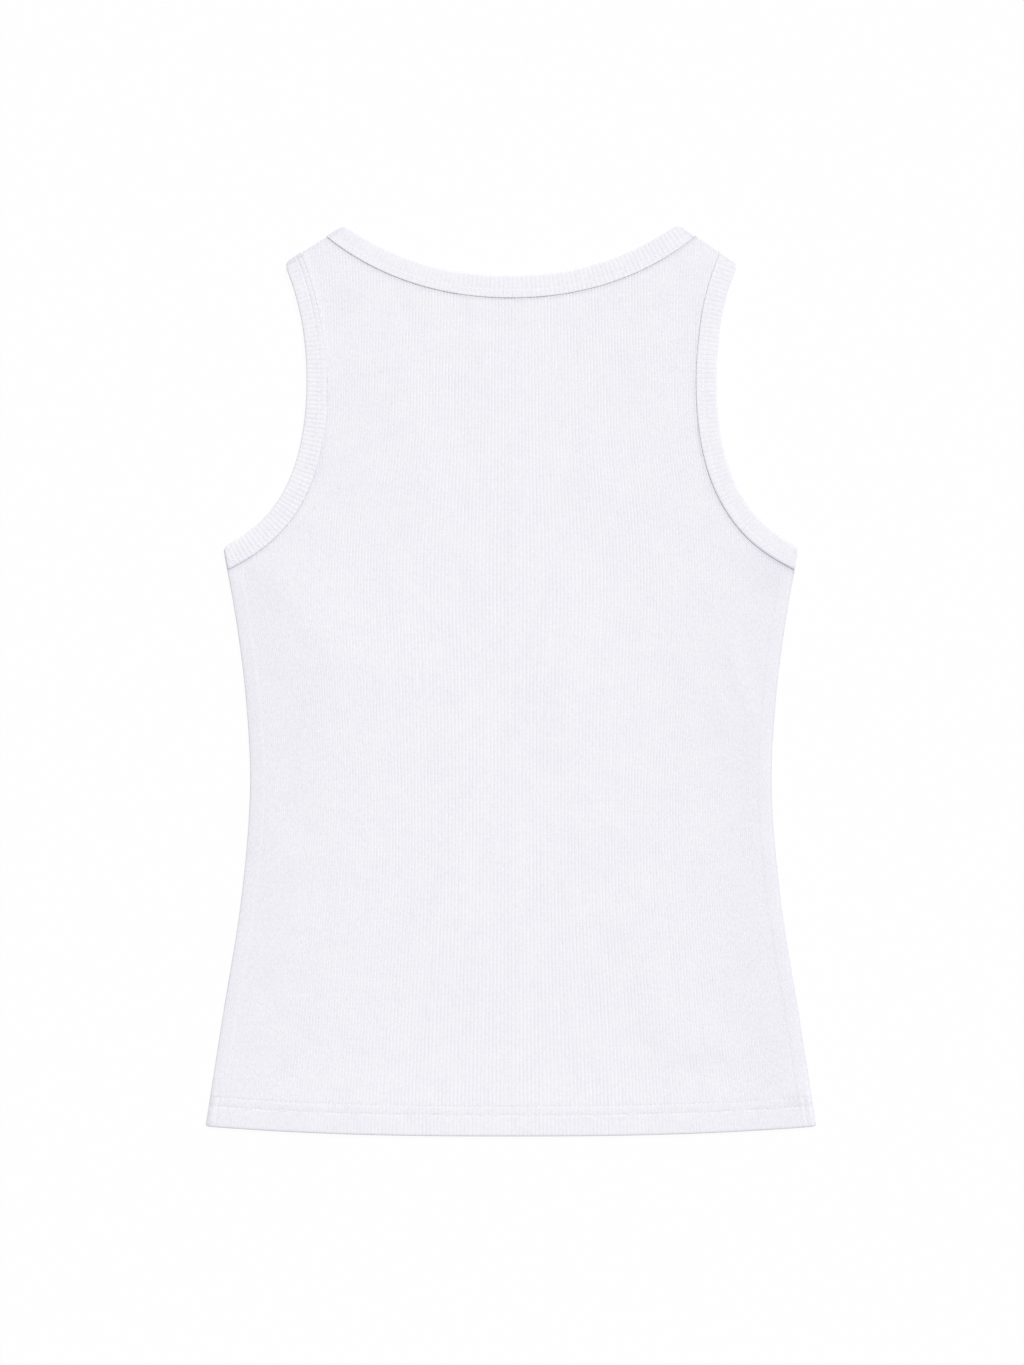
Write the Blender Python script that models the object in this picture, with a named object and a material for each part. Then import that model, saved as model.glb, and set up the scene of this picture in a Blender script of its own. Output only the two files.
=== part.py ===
"""Ribbed cotton tank top, laid flat with its back uppermost.

The garment lies in the XY plane, +X across, +Y towards the neck and +Z up from the surface.
Two panels lie on each other.  Each bound edge has a folded strip round it, a ring whose upper
half is sewn to the back and whose lower half is sewn to the front, folded over where they meet.
"""

import math
from collections import namedtuple

import bmesh
import bpy
from mathutils import Vector

# ---- The cut, in metres ----
LENGTH = 0.6104                # neck points down to the middle of the hem
HEM_SAG = 0.0067               # the hem's middle lies this far below its corners
NECK_HALF = 0.1119             # centre line to a neck point
BACK_NECK_DROP = 0.0335        # neck points down to the middle of the back neck
FRONT_NECK_DROP = 0.1000
SHOULDER_HALF = 0.1514         # centre line to a shoulder tip
SHOULDER_FALL = 0.0261         # neck point down to the shoulder tip
UNDERARM_DOWN = 0.2164         # neck points down to the underarm point
ARMHOLE_NARROW = 0.1370        # centre line to the armhole where the back is narrowest
ARMHOLE_NARROW_DOWN = 0.1035   # neck points down to that place

NECK_STRIP = 0.0151            # width of the neck's folded strip at the centre line
NECK_STRIP_SHOULDER = 0.0139   # and along the shoulder line
ARM_STRIP = 0.0138             # width of the armhole's folded strip where the back is narrowest
ARM_STRIP_SHOULDER = 0.0141    # and along the shoulder line
ARM_STRIP_SIDE = 0.0146        # and down the side edge

# ---- Cloth, in metres ----
SEAM_GAP = 0.0003              # sewn pieces stand this far apart
FRONT_CLOTH = 0.0015           # front panel and the lower half of each strip
BACK_CLOTH = 0.0014            # back panel, to the tops of its ribs
RIB_DEPTH = 0.00045            # the grooves between ribs
BACK_STRIP_CLOTH = 0.0021      # doubled cloth of a strip's upper half
STRIP_RIB_DEPTH = 0.0004
HEM_HEIGHT = 0.0195            # the turned-up hem, up to its stitching
HEM_STEP = 0.0020              # the ramp from doubled to single cloth
FRONT_HEM_LIFT = 0.0006        # extra cloth of the front's hem
BACK_HEM_LIFT = 0.0004         # extra cloth of the back's hem, above the front's
FOLD_REACH = 0.0012            # how far a strip bulges where it folds over
ROUNDED_EDGE = 0.0009          # rounding of a strip's folded edge
SEWN_EDGE = 0.0003             # rounding of its sewn edge

# ---- Ribs ----
RIBS_PER_HALF = 95             # ribs from the centre line to the side, where they fan
SPARE_RIBS = 8                 # ribs past that, which the side cuts off
STRIP_RIB = 0.00305            # one rib along the middle of a strip

# ---- Resolution ----
PLAIN_COLUMNS = 14
HEM_POINTS = 24
SIDE_POINTS = 16
ARM_POINTS = 40
NECK_POINTS = 36
FOLD_POINTS = 3

TOP = LENGTH / 2
HEM_CORNER = -LENGTH / 2 + HEM_SAG
UPPER_FLOOR = FRONT_CLOTH + SEAM_GAP
FOLD_LEVEL = FRONT_CLOTH + SEAM_GAP / 2
NECK_POINT = Vector((NECK_HALF, TOP))
SHOULDER_TIP = Vector((SHOULDER_HALF, TOP - SHOULDER_FALL))

# Half the width at heights above the hem's corners.
Width = namedtuple("Width", "up half")
SIDE = (
    Width(0.0000, 0.2047),
    Width(0.0715, 0.1936),
    Width(0.1518, 0.1809),
    Width(0.2255, 0.1749),
    Width(0.2858, 0.1776),
    Width(0.3395, 0.1843),
    Width(0.3873, 0.1929),
)
# Half the width over which RIBS_PER_HALF ribs fan, at the same kind of heights, and how much
# closer together they lie towards the sides.
Fan = namedtuple("Fan", "up half crowding")
FAN = (
    Fan(0.0000, 0.2047, 0.830),
    Fan(0.0715, 0.1936, 0.870),
    Fan(0.1518, 0.1809, 0.925),
    Fan(0.2255, 0.1749, 0.967),
    Fan(0.2858, 0.1776, 0.963),
    Fan(0.3525, 0.1856, 0.945),
    Fan(0.3800, 0.1856, 0.930),
    Fan(0.4535, 0.1758, 0.883),
    Fan(0.5000, 0.1729, 0.862),
    Fan(0.5600, 0.1712, 0.800),
)
# The rows across a panel: height above the hem, whether the hem's lift is on, and whether the
# row bends with the hem.
Row = namedtuple("Row", "up lifted bent")
ROWS = (
    Row(-0.012, 1, 0),
    Row(HEM_HEIGHT, 1, 1),
    Row(HEM_HEIGHT + HEM_STEP, 0, 1),
    Row(0.090, 0, 1),
    Row(0.152, 0, 0),
    Row(0.226, 0, 0),
    Row(0.300, 0, 0),
    Row(0.373, 0, 0),
    Row(0.500, 0, 0),
    Row(0.630, 0, 0),
)


def smooth(table, up):
    """A table's other columns at a height, on smooth curves through its rows."""
    last = len(table) - 1
    if up <= table[0].up:
        return table[0][1:]
    if up >= table[last].up:
        return table[last][1:]
    i = max(k for k in range(last) if table[k].up <= up)
    step = table[i + 1].up - table[i].up
    t = (up - table[i].up) / step

    def slope(k, column):
        low, high = table[max(k - 1, 0)], table[min(k + 1, last)]
        return (high[column] - low[column]) / (high.up - low.up)

    return [(2 * t**3 - 3 * t**2 + 1) * table[i][column]
            + (t**3 - 2 * t**2 + t) * step * slope(i, column)
            + (3 * t**2 - 2 * t**3) * table[i + 1][column]
            + (t**3 - t**2) * step * slope(i + 1, column) for column in range(1, len(table[i]))]


def side_half(y):
    return smooth(SIDE, y - HEM_CORNER)[0]


def hem_arc(x):
    """Height of the hem's edge: lowest on the centre line, flat there and steeper outwards."""
    return HEM_CORNER - HEM_SAG * (1 - min(abs(x) / SIDE[0].half, 1) ** 2.5)


def bezier(start, start_angle, start_pull, end, end_angle, end_pull, steps=60):
    """Points on a cubic curve that leaves both ends at an angle in degrees, drawn out by a pull."""
    def handle(point, angle, pull):
        return point + pull * Vector((math.cos(math.radians(angle)), math.sin(math.radians(angle))))

    a, b = handle(start, start_angle, start_pull), handle(end, end_angle, end_pull)
    points = []
    for i in range(steps + 1):
        t = i / steps
        s = 1 - t
        points.append(s**3 * start + 3 * s * s * t * a + 3 * s * t * t * b + t**3 * end)
    return points


def along(points, steps, trim_start=0.0, trim_end=0.0):
    """The same curve with evenly spaced points, shortened at its ends."""
    marks = [0.0]
    for a, b in zip(points, points[1:]):
        marks.append(marks[-1] + (b - a).length)
    length = marks[-1] - trim_start - trim_end
    out = []
    k = 0
    for i in range(steps + 1):
        mark = trim_start + length * i / steps
        while k < len(points) - 2 and marks[k + 1] < mark:
            k += 1
        t = (mark - marks[k]) / (marks[k + 1] - marks[k])
        out.append(points[k].lerp(points[k + 1], t))
    return out


def run_length(points):
    """How long a curve is."""
    return sum((b - a).length for a, b in zip(points, points[1:]))


def to_the_left(points, distance):
    """The curve moved sideways, to the left of its run; a negative distance is to the right."""
    out = []
    for i, point in enumerate(points):
        run = points[min(i + 1, len(points) - 1)] - points[max(i - 1, 0)]
        out.append(point + distance * Vector((-run.y, run.x)).normalized())
    return out


def on_shoulder(distance):
    """A point on the shoulder line, at a distance from the neck point."""
    return NECK_POINT + distance * (SHOULDER_TIP - NECK_POINT).normalized()


def back_neck():
    """Right half of the back neck, from the centre: its folded edge and its seam."""
    fold = bezier(Vector((0, TOP - BACK_NECK_DROP)), 0, 0.0586, NECK_POINT, -149.2, 0.0261)
    seam = bezier(Vector((0, TOP - BACK_NECK_DROP - NECK_STRIP)), 0, 0.0308,
                  on_shoulder(NECK_STRIP_SHOULDER), -141.2, 0.0561)
    return fold, seam


def front_neck():
    """Right half of the front neck, a deeper scoop between the same shoulders."""
    fold = bezier(Vector((0, TOP - FRONT_NECK_DROP)), 0, 0.0620, NECK_POINT, -112, 0.0560)
    seam = bezier(Vector((0, TOP - FRONT_NECK_DROP - NECK_STRIP)), 0, 0.0700,
                  on_shoulder(NECK_STRIP_SHOULDER), -110, 0.0620)
    return fold, seam


def armhole():
    """Right armhole, from the underarm to the shoulder: its folded edge and its seam."""
    underarm_y = TOP - UNDERARM_DOWN
    fold_side = Vector((side_half(underarm_y), underarm_y))
    fold_narrow = Vector((ARMHOLE_NARROW, TOP - ARMHOLE_NARROW_DOWN))
    fold = (bezier(fold_side, 133.8, 0.0120, fold_narrow, -90, 0.0937)
            + bezier(fold_narrow, 90, 0.0469, SHOULDER_TIP, -102.8, 0.0069)[1:])
    seam_y = underarm_y - ARM_STRIP_SIDE
    seam_side = Vector((side_half(seam_y), seam_y))
    seam_narrow = Vector((ARMHOLE_NARROW - ARM_STRIP, TOP - ARMHOLE_NARROW_DOWN))
    shoulder = on_shoulder((SHOULDER_TIP - NECK_POINT).length - ARM_STRIP_SHOULDER)
    seam = (bezier(seam_side, 154.3, 0.0511, seam_narrow, -90, 0.0696)
            + bezier(seam_narrow, 90, 0.0225, shoulder, -112.4, 0.0333)[1:])
    return fold, seam


def material(name, colour, roughness):
    mat = bpy.data.materials.new(name)
    mat.use_nodes = True
    shader = mat.node_tree.nodes["Principled BSDF"]
    shader.inputs["Base Color"].default_value = (*colour, 1)
    shader.inputs["Roughness"].default_value = roughness
    shader.inputs["Metallic"].default_value = 0.0
    return mat


def add_object(name, bm, colour=(0.89, 0.88, 0.93), roughness=0.9):
    """A named object from a bmesh, with a material of its own."""
    bmesh.ops.recalc_face_normals(bm, faces=bm.faces)
    mesh = bpy.data.meshes.new(name)
    bm.to_mesh(mesh)
    bm.free()
    obj = bpy.data.objects.new(name, mesh)
    bpy.context.scene.collection.objects.link(obj)
    mesh.materials.append(material(name + "_cloth", colour, roughness))
    return obj


def rib_x(rib, y):
    """Where rib number rib crosses a height, counted from the centre line."""
    half, crowding = smooth(FAN, y - HEM_CORNER)
    return half * math.tanh(crowding * rib / RIBS_PER_HALF) / math.tanh(crowding)


def panel_slab(name, floor, floor_lift, top, top_lift, ribbed):
    """An oversized sheet of the panel's cloth: ribs run up it and its hem is lifted.

    floor and top are heights above the surface, and each lift is what the hem adds to them.
    """
    outer = RIBS_PER_HALF + SPARE_RIBS
    plain = [outer * (2 * i / PLAIN_COLUMNS - 1) for i in range(PLAIN_COLUMNS + 1)]
    crests = [i / 2 for i in range(-2 * outer, 2 * outer + 1)] if ribbed else plain
    bm = bmesh.new()

    def grid(columns, z, lift, groove):
        rows = []
        for row in ROWS:
            level = HEM_CORNER + row.up
            line = []
            for rib in columns:
                x = rib_x(rib, level)
                y = level + row.bent * (hem_arc(x) - HEM_CORNER)
                depth = groove if rib % 1 else 0.0
                line.append(bm.verts.new((x, y, z + row.lifted * lift - depth)))
            rows.append(line)
        for low, high in zip(rows, rows[1:]):
            for i in range(len(low) - 1):
                bm.faces.new((low[i], low[i + 1], high[i + 1], high[i]))
        return rows

    under = grid(plain, floor, floor_lift, 0.0)
    over = grid(crests, top, top_lift, RIB_DEPTH if ribbed else 0.0)
    for end in (0, -1):
        bm.faces.new(under[end] + over[end][::-1])
        for j in range(len(ROWS) - 1):
            bm.faces.new((under[j][end], under[j + 1][end], over[j + 1][end], over[j][end]))
    return add_object(name, bm)


def panel_outline(neck_seam):
    """The panel's edge from the middle of the hem, round the right side, to the neck's middle."""
    hem = [Vector((x, hem_arc(x))) for x in
           (SIDE[0].half * i / (HEM_POINTS // 2) for i in range(HEM_POINTS // 2 + 1))]
    seam_y = TOP - UNDERARM_DOWN - ARM_STRIP_SIDE
    side = [Vector((side_half(y), y)) for y in
            (HEM_CORNER + (seam_y - SEAM_GAP - HEM_CORNER) * i / SIDE_POINTS
             for i in range(1, SIDE_POINTS))]
    arm = to_the_left(along(armhole()[1], ARM_POINTS), SEAM_GAP)
    neck = to_the_left(along(neck_seam, NECK_POINTS // 2), -SEAM_GAP)
    return hem + side + arm + neck[::-1]


def outline_cutter(name, neck_seam):
    """A closed prism over the panel's outline, which trims the slab."""
    right = panel_outline(neck_seam)
    left = [Vector((-p.x, p.y)) for p in right[-2:0:-1]]
    bm = bmesh.new()
    low = [bm.verts.new((p.x, p.y, -0.005)) for p in right + left]
    high = [bm.verts.new((p.x, p.y, 0.015)) for p in right + left]
    bm.faces.new(low[::-1])
    bm.faces.new(high)
    for i in range(len(low)):
        bm.faces.new((low[i - 1], low[i], high[i], high[i - 1]))
    cutter = add_object(name, bm)
    cutter.hide_render = True
    cutter.display_type = "WIRE"
    return cutter


def panel(name, neck_seam, floor, floor_lift, top, top_lift, ribbed):
    slab = panel_slab(name, floor, floor_lift, top, top_lift, ribbed)
    trim = slab.modifiers.new("cut to shape", "BOOLEAN")
    trim.operation = "INTERSECT"
    trim.solver = "EXACT"
    trim.object = outline_cutter(name + "_outline", neck_seam)
    return slab


def strip_section(fold, seam, out, angle, thickness):
    """Six points across a strip, from the folded edge's inner side round to the sewn edge's.

    angle is 0 on the upper half and pi on the lower half, and between them it turns over the
    fold, which bulges along out.
    """
    across = (seam - fold).normalized()
    width = (seam - fold).length
    inner = SEAM_GAP / 2
    middle = inner + thickness * 0.55
    outer = inner + thickness
    profile = (
        (ROUNDED_EDGE * 0.4, inner), (0.0, middle), (ROUNDED_EDGE, outer),
        (width - SEWN_EDGE, outer), (width, middle), (width, inner),
    )
    points = []
    for w, r in profile:
        base = fold + across * w + out * FOLD_REACH * math.sin(angle) * r / outer
        points.append(Vector((base.x, base.y, FOLD_LEVEL + r * math.cos(angle))))
    return points


def strip_ring(name, upper, lower, out_start, out_end, ribs, mirrored=False):
    """A folded strip as one closed ring.

    upper and lower are each a folded edge and a seam, as points in the same order; the outs
    point away from the garment where the strip folds over at their ends.
    """
    sections = []
    for i, (fold, seam) in enumerate(zip(*upper)):
        groove = STRIP_RIB_DEPTH if i % 2 == 0 and 0 < i < 2 * ribs else 0.0
        sections.append(strip_section(fold, seam, out_end, 0.0, BACK_STRIP_CLOTH - groove))
    turns = [(k + 1) / (FOLD_POINTS + 1) for k in range(FOLD_POINTS)]

    def turn(upper_end, lower_end, out, share):
        fold = upper_end[0].lerp(lower_end[0], share)
        seam = upper_end[1].lerp(lower_end[1], share)
        thickness = BACK_STRIP_CLOTH + (FRONT_CLOTH - BACK_STRIP_CLOTH) * share
        return strip_section(fold, seam, out, math.pi * share, thickness)

    upper_ends = [(upper[0][i], upper[1][i]) for i in (0, -1)]
    lower_ends = [(lower[0][i], lower[1][i]) for i in (0, -1)]
    sections += [turn(upper_ends[1], lower_ends[1], out_end, share) for share in turns]
    for fold, seam in zip(lower[0][::-1], lower[1][::-1]):
        sections.append(strip_section(fold, seam, out_start, math.pi, FRONT_CLOTH))
    sections += [turn(upper_ends[0], lower_ends[0], out_start, share) for share in turns[::-1]]

    bm = bmesh.new()
    sign = -1 if mirrored else 1
    loops = [[bm.verts.new((sign * p.x, p.y, p.z)) for p in section] for section in sections]
    for i in range(len(loops)):
        a, b = loops[i - 1], loops[i]
        for k in range(len(a)):
            bm.faces.new((a[k - 1], a[k], b[k], b[k - 1]))
    return add_object(name, bm)


def shoulder_out():
    run = (SHOULDER_TIP - NECK_POINT).normalized()
    return Vector((-run.y, run.x))


def both_sides(right_half):
    """A curve over both halves of the garment, from one that starts on the centre line."""
    return [Vector((-p.x, p.y)) for p in right_half[:0:-1]] + right_half


def ribs_along(curves):
    """How many ribs lie along a strip's middle, between its folded edge and its seam."""
    return round((run_length(curves[0]) + run_length(curves[1])) / 2 / STRIP_RIB)


def trimmed(curves, steps):
    return [along(curve, steps, FOLD_REACH, FOLD_REACH) for curve in curves]


def neck_binding():
    back = [both_sides(curve) for curve in back_neck()]
    front = [both_sides(curve) for curve in front_neck()]
    ribs = ribs_along(back)
    out = shoulder_out()
    return strip_ring("neck_binding", trimmed(back, 2 * ribs), trimmed(front, NECK_POINTS),
                      Vector((-out.x, out.y)), out, ribs)


def armhole_binding(name, mirrored):
    curves = armhole()
    ribs = ribs_along(curves)
    side = (curves[0][0] - curves[1][0]).normalized()
    return strip_ring(name, trimmed(curves, 2 * ribs), trimmed(curves, ARM_POINTS),
                      Vector((side.y, -side.x)), shoulder_out(), ribs, mirrored)


def build():
    for obj in list(bpy.data.objects):
        bpy.data.objects.remove(obj)
    panel("front_panel", front_neck()[1], 0.0, 0.0, FRONT_CLOTH, FRONT_HEM_LIFT, ribbed=False)
    panel("back_panel", back_neck()[1], UPPER_FLOOR, FRONT_HEM_LIFT, UPPER_FLOOR + BACK_CLOTH,
          FRONT_HEM_LIFT + BACK_HEM_LIFT, ribbed=True)
    neck_binding()
    armhole_binding("armhole_binding_left", mirrored=True)
    armhole_binding("armhole_binding_right", mirrored=False)


build()
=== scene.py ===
"""Ribbed cotton tank top, laid flat with its back uppermost: cloth, bindings, stitching and stage.

Shapes are worked out in millimetres in the garment's own frame, +X across, +Y towards the neck
and +Z up from the surface it lies on, and become metres when their meshes are made.
"""

import math
from collections import namedtuple

import bpy
import numpy as np
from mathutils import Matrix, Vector
from mathutils.geometry import delaunay_2d_cdt


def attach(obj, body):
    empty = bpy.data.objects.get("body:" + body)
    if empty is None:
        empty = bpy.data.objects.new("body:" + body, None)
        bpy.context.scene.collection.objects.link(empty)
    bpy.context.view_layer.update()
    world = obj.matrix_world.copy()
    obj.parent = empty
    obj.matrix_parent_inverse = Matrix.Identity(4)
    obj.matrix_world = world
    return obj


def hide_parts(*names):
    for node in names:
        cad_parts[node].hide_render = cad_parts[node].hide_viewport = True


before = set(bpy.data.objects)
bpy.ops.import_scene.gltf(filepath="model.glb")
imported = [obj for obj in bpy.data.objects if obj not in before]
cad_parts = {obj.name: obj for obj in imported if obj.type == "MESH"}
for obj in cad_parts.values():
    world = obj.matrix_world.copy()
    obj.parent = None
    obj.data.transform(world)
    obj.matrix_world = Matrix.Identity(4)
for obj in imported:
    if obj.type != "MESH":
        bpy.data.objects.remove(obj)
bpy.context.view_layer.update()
bpy.ops.object.select_all(action="DESELECT")

bl_info = {
    "name": "Ribbed Tank Top",
    "version": (1, 0, 0),
    "blender": (4, 5, 0),
    "location": "3D View > Sidebar > Tank Top",
    "description": "Dresses the cut pieces of a rib-knit tank top in finished cloth",
    "category": "Object",
}

# ---- The cut, in millimetres, as the solids have it ----
TOP = 305.2
HEM_CORNER, HEM_HALF = -298.5, 204.7
HEM_SAG, HEM_CURVE = 6.7, 2.5  # how far the hem's middle hangs down, and how squarely
CORNER_LIFT, CORNER_RUN = 1.3, 0.004
NECK_POINT = np.array((111.9, TOP))
SHOULDER_TIP = np.array((151.4, TOP - 26.1))
BACK_NECK, FRONT_NECK = TOP - 33.5, TOP - 100
UNDERARM = TOP - 216.4
NARROW = TOP - 103.5  # height where the back is narrowest
NARROW_FOLD, NARROW_SEAM = 137.0, 123.2
NECK_STRIP, ARM_STRIP = 15.1, 14.6
NECK_SEAM_IN, ARM_SEAM_IN = 13.9, 14.1  # along the shoulder, from its ends
SHOULDER_FOLD = 0.5  # how far the folded shoulder stands out past these
SEAM_GAP = 0.02
FOLD_LEVEL = 1.65  # between the layers
SKIN = 0.15  # half the room between the layers
STRIP_UPPER, STRIP_LOWER = 2.2, 1.5
STRIP_RIB_DEPTH = 0.12
FOLD_REACH = 1.2  # how far a strip's fold stands out past its trimmed ends
STITCH_PITCH = 3.2
COURSE = 0.95  # one row of knitting
SIDE = (  # height above the hem's corner, half the width
    (0.0, HEM_HALF), (71.5, 193.6), (151.8, 180.9), (225.5, 174.9), (285.8, 177.6),
    (339.5, 184.3), (387.3, 192.9),
)

# ---- How the ribs run ----
RIBS = 95  # from the centre line to the side
NARROW_RIB = 60  # the rib that touches the armhole where the back is narrowest
STRAP_LEAN = 0.3  # how far the strap's ribs follow the armhole outward
RIB_WANDER = 0.7
FAN = (  # height, reach of the outermost rib, and how closely the outer ones crowd
    (0.0, 204.7, 0.83), (71.5, 193.6, 0.87), (151.8, 180.9, 0.925), (225.5, 174.9, 0.967),
    (285.8, 177.6, 0.963), (330.0, 182.9, 0.95), (352.5, 185.6, 0.945), (380.0, 185.6, 0.93),
    (410.0, 183.0, 0.91), (453.5, 175.1, 0.8825), (478.5, 172.45, 0.872),
    (500.0, 172.45, 0.8616), (530.0, 171.4, 0.837), (560.0, 171.2, 0.80), (600.0, 171.2, 0.80),
)

# ---- How the garment came to lie ----
# Soft rises of the upper layer: middle x and y, which way each runs in degrees,
# and its length, width and height.
CREASES = (
    (-152, 22, 85, 14, 7, 0.35), (-160, -95, 96, 70, 12, 0.30), (-110, -190, 80, 80, 22, 0.30),
    (-80, 200, 95, 28, 24, 0.45), (-62, 130, 90, 26, 16, 0.50), (-35, -120, 86, 110, 22, 0.30),
    (2, 10, 90, 250, 5, 0.16), (20, 60, 94, 120, 24, 0.25), (48, -60, 88, 90, 20, 0.30),
    (50, 138, 90, 26, 16, 0.50), (104, -215, 101, 80, 20, 0.30), (134, -243, -22, 46, 8, 0.32),
    (170, -262, -20, 24, 6, 0.30), (-55, -226, 60, 14, 7, 0.25), (154, -2, 108, 38, 8, 0.45),
    (146, -24, 135, 16, 6, 0.28), (172, -40, 90, 90, 14, 0.35), (98, 232, 80, 40, 11, 0.35),
    (-140, -262, 75, 34, 14, 0.30), (60, -270, 84, 36, 18, 0.20),
)
DRIFT = 0.09  # a slow unevenness between the creases
CREASE_FADE = 14.0  # from the side, where the upper layer lies flat
# The fold under the left arm: at each height, where its foot and its ridge lie across.
UNDERARM_FOLD = (
    (-104, -137, -136), (-53, -151, -129), (14, -168, -121), (45, -173, -141),
    (68, -178, -158), (86, -183, -180),
)
FOLD_SLOPE = 0.030
FOLD_START = 20.0  # how far up it takes to rise in full
FOLD_ROUND = 6.0  # how softly the fold starts and turns over its ridge
FOLD_FADE = 60.0  # how far past its ridge it dies away
SHOULDER_ROLL, SHOULDER_SOFT = 0.45, 7.0  # the upper layer sinks towards the shoulder line
ARM_DRIFT, SHOULDER_DRIFT = 0.75, 0.8  # the right armhole and shoulder lie further out

# Places painted a shade darker, where the cloth lies in shade: rows as above, but how dark in place
# of height.
SHADE_SPOTS = (
    (-150, 18, 0, 20, 45, 0.02), (-168, 62, 0, 12, 14, 0.08), (-140, -22, 0, 12, 30, 0.03),
    (-150, -135, 0, 9, 12, 0.05), (-158, -197, 0, 12, 12, 0.06), (-131, -245, 0, 9, 8, 0.05),
    (-150, -254, 0, 8, 7, 0.06), (-175, -265, 0, 11, 6, 0.05), (-56, -225, 0, 9, 5, 0.06),
    (-96, 192, 0, 17, 14, 0.03), (-108, 153, 0, 13, 10, 0.05), (-104, 262, 0, 13, 14, 0.05),
    (175, 70, 0, 12, 12, 0.15), (158, 79, 0, 14, 7, 0.08), (147, 27, 0, 6, 11, 0.05),
    (140, -30, 0, 10, 8, 0.05), (151, -192, 0, 12, 14, 0.08), (95, -237, 0, 10, 7, 0.04),
    (128, -254, 0, 24, 8, 0.07), (164, -238, 0, 10, 22, 0.06), (178, -258, 0, 8, 18, 0.08),
    (191, -281, 0, 6, 5, 0.25), (43, -252, 0, 5, 12, 0.05), (10, -262, 0, 12, 6, 0.05),
    (-2, -215, 0, 75, 48, 0.025), (-146, 284, 0, 9, 11, 0.12), (-114, 299, 0, 8, 7, 0.08),
)

# ---- Points of the meshes ----
CURVE_STEPS = 120
NEAREST_BATCH = 2000  # points compared with a curve at a time
CROSSING_STEPS = 1500
# Rows of points up a panel: distances from the hem's edge, and from the seams.
HEM_ROWS = (
    0.0, 0.1, 0.35, 0.8, 1.5, 2.6, 5.0, 9.0, 12.4, 13.2, 13.65, 14.0, 14.35, 14.8, 15.6,
    17.0, 18.4, 19.2, 19.65, 20.0, 20.35, 20.8, 21.8, 24.0,
)
SEAM_ROWS = (14.0, 9.0, 6.0, 4.0, 2.9, 2.1, 1.5, 1.0, 0.6, 0.3, 0.1, 0.0)
START_ROWS = (0.25, 0.9, 1.8, 3.2, 5.5, 9.0)
LEVEL_Y = 10.0  # the rows lie level here, between the hem and the armholes
LOW_BODY_ROWS, HIGH_BODY_ROWS, STRAP_ROWS = 34, 16, 12
ROW_SPREAD = 3.0  # seam rows stand apart so much more along the inner ribs
SHEET_STEP = 12.0  # points of a panel's plain inner face


# ---- curves ----

def ease(t):
    """From 0 to 1 with soft turns, and level outside that."""
    t = np.clip(t, 0.0, 1.0)
    return t * t * (3 - 2 * t)


def ramp(value, start, run):
    """0 before the start and 1 past a run from it, which may go either way."""
    return ease((value - start) / run)


def bell(distance, width):
    """1 in the middle, fading softly to both sides."""
    return np.exp(-(distance / width) ** 2)


def peaks(turns, power):
    """1 at whole numbers, 0 halfway between them, and slimmer with a higher power."""
    return (0.5 + 0.5 * np.cos(2 * np.pi * turns)) ** power


def unit(vectors):
    return vectors / np.linalg.norm(vectors, axis=-1, keepdims=True)


def smooth(table, at):
    """Values at some heights, one for each of a table's columns, smoothly through its rows."""
    up, *columns = np.array(table, float).T
    last = len(up) - 1
    rows = np.arange(last + 1)
    low, high = np.clip(rows - 1, 0, last), np.clip(rows + 1, 0, last)
    at = np.clip(at, up[0], up[-1])
    i = np.clip(np.searchsorted(up, at, side="right") - 1, 0, last - 1)
    step = up[i + 1] - up[i]
    t = (at - up[i]) / step
    found = []
    for column in columns:
        slope = (column[high] - column[low]) / (up[high] - up[low])
        found.append(
            (2 * t**3 - 3 * t**2 + 1) * column[i] + (t**3 - 2 * t**2 + t) * step * slope[i]
            + (3 * t**2 - 2 * t**3) * column[i + 1] + (t**3 - t**2) * step * slope[i + 1])
    return found


def side_half(y):
    return smooth(SIDE, np.asarray(y, float) - HEM_CORNER)[0]


def hem_arc(x):
    """The hem's lower edge, rounded a little at its corners."""
    share = np.minimum(np.abs(x) / HEM_HALF, 1)
    lift = CORNER_LIFT * np.exp(-(1 - share) / CORNER_RUN)
    return HEM_CORNER - HEM_SAG * (1 - share**HEM_CURVE) + lift


def bezier(start, start_angle, start_pull, end, end_angle, end_pull):
    """Points on a cubic curve that leaves both ends at an angle in degrees, drawn by a pull."""
    def handle(point, angle, pull):
        turn = math.radians(angle)
        return point + pull * np.array((math.cos(turn), math.sin(turn)))

    start, end = np.array(start, float), np.array(end, float)
    a, b = handle(start, start_angle, start_pull), handle(end, end_angle, end_pull)
    t = np.linspace(0, 1, CURVE_STEPS + 1)[:, None]
    s = 1 - t
    return s**3 * start + 3 * s * s * t * a + 3 * s * t * t * b + t**3 * end


def marks_along(points):
    steps = np.linalg.norm(np.diff(points, axis=0), axis=1)
    return np.concatenate(([0.0], np.cumsum(steps)))


def along(points, shares, trim):
    """The places on a curve at shares of its length, after both ends are trimmed."""
    marks = marks_along(points)
    at = trim + (marks[-1] - 2 * trim) * np.asarray(shares)
    return np.stack([np.interp(at, marks, column) for column in points.T], axis=1)


def shifted(points, distance):
    """The curve moved sideways, to the left of its run."""
    run = unit(np.gradient(points, axis=0))
    return points + distance * np.stack((-run[:, 1], run[:, 0]), axis=1)


def both_sides(right_half):
    return np.vstack((right_half[:0:-1] * (-1, 1), right_half))


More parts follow.
